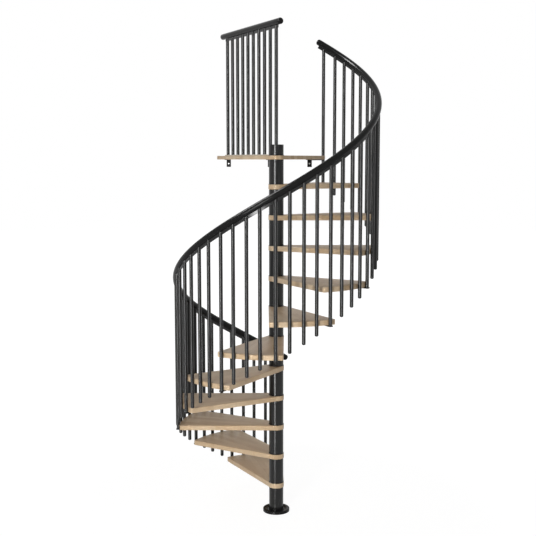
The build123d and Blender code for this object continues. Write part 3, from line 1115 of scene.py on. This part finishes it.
class STAIR_OT_stage(bpy.types.Operator):
    """Set the floor, the soft lights, the world and the camera"""

    bl_idname = "stair.stage"
    bl_label = "Stage"

    def execute(self, context):
        scene = context.scene
        scene.view_settings.view_transform = "Standard"
        self.make_floor(scene)
        self.make_world(scene)
        lights = {lamp[0]: self.make_light(scene, *lamp) for lamp in LAMPS}
        lights["key_light"].visible_glossy = False
        lights["back_light"].visible_glossy = False
        lights["grip_light"].visible_diffuse = False
        self.make_camera(scene)
        return {"FINISHED"}

    def make_camera(self, scene):
        """Camera at the height of the landing, tilted down a little."""
        camera = bpy.data.objects.new("camera", bpy.data.cameras.new("camera"))
        camera.data.sensor_width = SENSOR_WIDTH
        camera.data.lens = SENSOR_WIDTH * FOCAL_PIXELS / IMAGE_WIDTH
        camera.data.shift_x, camera.data.shift_y = CAMERA_SHIFT
        camera.location = CAMERA_PLACE
        camera.rotation_euler = (math.pi / 2 - CAMERA_TILT, 0.0, 0.0)
        scene.collection.objects.link(camera)
        scene.camera = camera

    def make_floor(self, scene):
        """Pale floor that looks white to the camera and keeps a faint shadow.

        Reflections pass it by and show the white world instead, so that the bright strip's line
        runs down to the column's foot.
        """
        made, tree, shader = new_finish("floor_paint")
        shader.inputs["Base Color"].default_value = (*colours().floor, 1.0)
        shader.inputs["Roughness"].default_value = FLOOR_ROUGHNESS
        white = add_node(tree, "ShaderNodeEmission", {"Strength": FLOOR_GLOW})
        place = object_place(tree)
        distance = add_node(tree, "ShaderNodeVectorMath", {0: place}, operation="LENGTH")
        fade = remap(tree, distance.outputs["Value"], *FLOOR_FADE)
        factor = maths(tree, "MULTIPLY", seen_rays(tree), fade)
        links = {0: factor, 1: shader.outputs[0], 2: white.outputs[0]}
        mixed = add_node(tree, "ShaderNodeMixShader", links)
        tree.links.new(mixed.outputs[0], tree.nodes["Material Output"].inputs["Surface"])
        mesh = bpy.data.meshes.new("floor")
        plan = polar(FLOOR_RADIUS, full_turn(FLOOR_SIDES))
        ring = np.concatenate([plan, np.zeros((FLOOR_SIDES, 1))], axis=1)
        mesh.from_pydata(ring.tolist(), [], [list(range(FLOOR_SIDES))])
        mesh.materials.append(made)
        floor = bpy.data.objects.new("floor", mesh)
        floor.visible_glossy = False
        scene.collection.objects.link(floor)

    def make_world(self, scene):
        """White world for the camera and for reflections, and a softer one for the light it gives.

        Reflections also show the key light as a tall bright strip at its bearing, which fades at
        both ends. It draws the thin upright line on the column and on each baluster.
        """
        world = bpy.data.worlds.new("studio")
        scene.world = world
        world.use_nodes = True
        tree = world.node_tree
        heading = add_node(tree, "ShaderNodeTexCoord").outputs["Generated"]
        split = add_node(tree, "ShaderNodeSeparateXYZ", {0: heading})
        forward = maths(tree, "MULTIPLY", split.outputs[1], -1.0)
        bearing = maths(tree, "ARCTAN2", split.outputs[0], forward)
        aside = maths(tree, "ABSOLUTE", maths(tree, "SUBTRACT", bearing, GLINT_BEARING))
        level = maths(tree, "ABSOLUTE", split.outputs[2])
        strip = maths(tree, "MULTIPLY", remap(tree, aside, *GLINT_WIDTH),
                      remap(tree, level, *GLINT_REACH))
        glossy = add_node(tree, "ShaderNodeLightPath").outputs["Is Glossy Ray"]
        plain_strength = remap(tree, seen_rays(tree), 0.0, 1.0, WORLD_LIGHT, 1.0)
        strength = maths(tree, "ADD", plain_strength, maths(tree, "MULTIPLY", strip, glossy))
        background = tree.nodes["Background"]
        background.inputs["Color"].default_value = (1.0, 1.0, 1.0, 1.0)
        tree.links.new(strength, background.inputs["Strength"])

    def make_light(self, scene, name, place, target, size, power):
        """Soft oblong light at a place, turned to a target."""
        lamp = bpy.data.lights.new(name, "AREA")
        lamp.shape = "RECTANGLE"
        lamp.size, lamp.size_y = size
        lamp.energy = power
        light = bpy.data.objects.new(name, lamp)
        light.location = place
        x, y, z = np.array(target) - np.array(place)
        tilt, heading = math.atan2(math.hypot(x, y), -z), math.atan2(y, x) - math.pi / 2
        light.rotation_euler = (tilt, 0.0, heading)
        scene.collection.objects.link(light)
        return light


class STAIR_PT_panel(bpy.types.Panel):
    """Sizes, colours and pieces of the staircase"""

    bl_idname = "STAIR_PT_panel"
    bl_label = "Spiral staircase"
    bl_space_type = "VIEW_3D"
    bl_region_type = "UI"
    bl_category = "Stair"

    def draw(self, context):
        layout = self.layout
        for group in (context.scene.stair_sizes, context.scene.stair_colours):
            for name in group.bl_rna.properties.keys():
                if name not in ("rna_type", "name"):
                    layout.prop(group, name)
        for operator in OPERATORS:
            layout.operator(operator.bl_idname)


OPERATORS = (
    STAIR_OT_column, STAIR_OT_base, STAIR_OT_treads, STAIR_OT_landing, STAIR_OT_stair_balusters,
    STAIR_OT_feet, STAIR_OT_rails, STAIR_OT_landing_balusters, STAIR_OT_brackets, STAIR_OT_stage,
)
CLASSES = (StairSizes, StairColours) + OPERATORS + (STAIR_PT_panel,)


def register():
    """Register the classes and put the settings on the scene."""
    for item in CLASSES:
        bpy.utils.register_class(item)
    bpy.types.Scene.stair_sizes = bpy.props.PointerProperty(type=StairSizes)
    bpy.types.Scene.stair_colours = bpy.props.PointerProperty(type=StairColours)


def unregister():
    """Take the settings and the classes away."""
    del bpy.types.Scene.stair_colours
    del bpy.types.Scene.stair_sizes
    for item in reversed(CLASSES):
        bpy.utils.unregister_class(item)


def main():
    """Make every piece."""
    register()
    bpy.ops.stair.column()
    bpy.ops.stair.base()
    bpy.ops.stair.treads()
    bpy.ops.stair.landing()
    bpy.ops.stair.stair_balusters()
    bpy.ops.stair.feet()
    bpy.ops.stair.rails()
    bpy.ops.stair.landing_balusters()
    bpy.ops.stair.brackets()
    bpy.ops.stair.stage()


if __name__ == "__main__":
    main()
